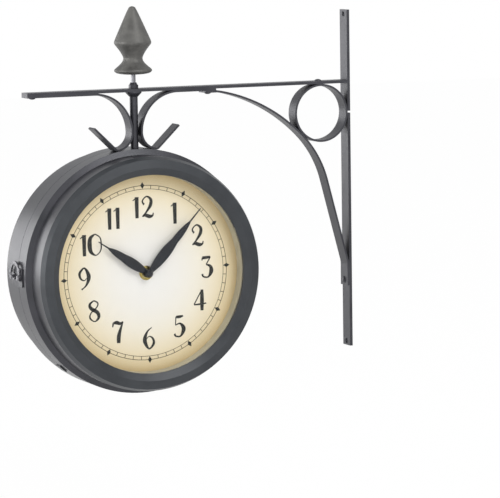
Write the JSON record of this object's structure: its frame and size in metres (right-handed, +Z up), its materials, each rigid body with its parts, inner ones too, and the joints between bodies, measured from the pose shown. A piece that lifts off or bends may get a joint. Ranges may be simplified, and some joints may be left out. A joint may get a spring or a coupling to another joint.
{
  "type": "double sided station clock",
  "caption": "Round double sided wall clock hung under a scrolled flat bar bracket; clock dial on one side, dial thermometer on the other, opening like a locket.",
  "frame": {"origin": "on the wall face, half way between the two wall screws, at mid width of the wall plate", "axes": "+X into the wall, +Z up; the clock dial faces -Y and the thermometer dial faces +Y"},
  "size_m": [0.3615, 0.11, 0.385],
  "materials": {
    "bracket_paint": "satin dark grey paint",
    "case_paint": "satin dark metallic grey paint",
    "finial_iron": "painted casting, slightly rough",
    "steel": "plain steel",
    "latch_metal": "bright nickel plate",
    "glass": "clear",
    "spacer_paint": "matt beige paint",
    "clock_face": "printed ivory dial",
    "thermometer_face": "printed cream dial",
    "hand_paint": "near black paint",
    "brass": "plain brass",
    "movement_plastic": "black moulding",
    "tube_plastic": "white acetal",
    "knob_plastic": "black moulding",
    "gasket_rubber": "black rubber",
    "cell_jacket": "plain printed jacket",
    "cup_metal": "pressed sheet",
    "bimetal": "bimetal strip"
  },
  "bodies": {
    "bracket_and_clock_half": {"wall_plate": "bracket_paint", "arm_bar": "bracket_paint", "corner_ring": "bracket_paint", "brace_bar": "bracket_paint", "scroll_left": "bracket_paint", "scroll_right": "bracket_paint", "rivet_heads": "bracket_paint", "hanger_pole": "bracket_paint", "pole_collar": "bracket_paint", "top_nut": "bracket_paint", "tie_rod": "steel", "tie_nut": "steel", "tie_washer": "steel", "hinge_pin": "steel", "finial": "finial_iron", "front_case_shell": "case_paint", "front_bezel": "case_paint", "front_hinge_leaf": "case_paint", "locating_tab": "case_paint", "latch_plate": "case_paint", "front_dial_tabs": "case_paint", "front_glass": "glass", "front_spacer_ring": "spacer_paint", "clock_dial": "clock_face", "latch_pin": "latch_metal", "battery_contact_plus": "latch_metal", "battery_contact_minus": "latch_metal", "brass_washer": "brass", "brass_nut": "brass", "movement_housing": "movement_plastic", "movement_cover": "movement_plastic", "dial_gasket": "gasket_rubber", "battery": "cell_jacket"},
    "thermometer_half": {"rear_case_shell": "case_paint", "rear_bezel": "case_paint", "rear_glass": "glass", "rear_spacer_ring": "spacer_paint", "thermometer_dial": "thermometer_face", "rear_dial_tabs": "case_paint", "rear_hinge_leaf": "case_paint", "latch_stud": "latch_metal", "thermometer_cup": "cup_metal", "pointer_bush": "brass", "bimetal_coil": "bimetal", "coil_post": "cup_metal"},
    "thermometer_needle": {"pointer_shaft": "steel", "thermometer_pointer": "hand_paint", "pointer_hub": "hand_paint"},
    "latch": {"latch_hook": "latch_metal"},
    "minute_works": {"minute_arbor": "steel", "minute_hand": "hand_paint", "hand_cap": "hand_paint"},
    "hour_works": {"hour_tube": "tube_plastic", "hour_hand": "hand_paint"},
    "setting_knob": {"set_knob": "knob_plastic"}
  },
  "joints": [
    {"name": "door_hinge", "type": "hinge", "parent": "bracket_and_clock_half", "child": "thermometer_half", "pos_m": [-0.1096, 0.01, -0.0805], "axis": [0, 0, -1], "range_deg": [0, 95]},
    {"name": "latch_pivot", "type": "hinge", "parent": "bracket_and_clock_half", "child": "latch", "pos_m": [-0.3595, 0.002, -0.0805], "axis": [1, 0, 0], "range_deg": [-15, 75]},
    {"name": "minute_axis", "type": "hinge", "parent": "bracket_and_clock_half", "child": "minute_works", "pos_m": [-0.235, -0.024, -0.0805], "axis": [0, 1, 0], "continuous": true},
    {"name": "hour_axis", "type": "hinge", "parent": "bracket_and_clock_half", "child": "hour_works", "pos_m": [-0.235, -0.024, -0.0805], "axis": [0, 1, 0], "continuous": true},
    {"name": "knob_axis", "type": "hinge", "parent": "bracket_and_clock_half", "child": "setting_knob", "pos_m": [-0.235, -0.008, -0.0626], "axis": [0, 1, 0], "continuous": true},
    {"name": "thermometer_axis", "type": "hinge", "parent": "thermometer_half", "child": "thermometer_needle", "pos_m": [-0.235, 0.044, -0.0805], "axis": [0, -1, 0], "range_deg": [-222, 78], "stiffness_Nm_per_rad": 0.005}
  ],
  "couplings": [
    {"joint": "hour_axis", "follows": "minute_axis", "ratio": 0.083333},
    {"joint": "knob_axis", "follows": "minute_axis", "ratio": 1}
  ]
}
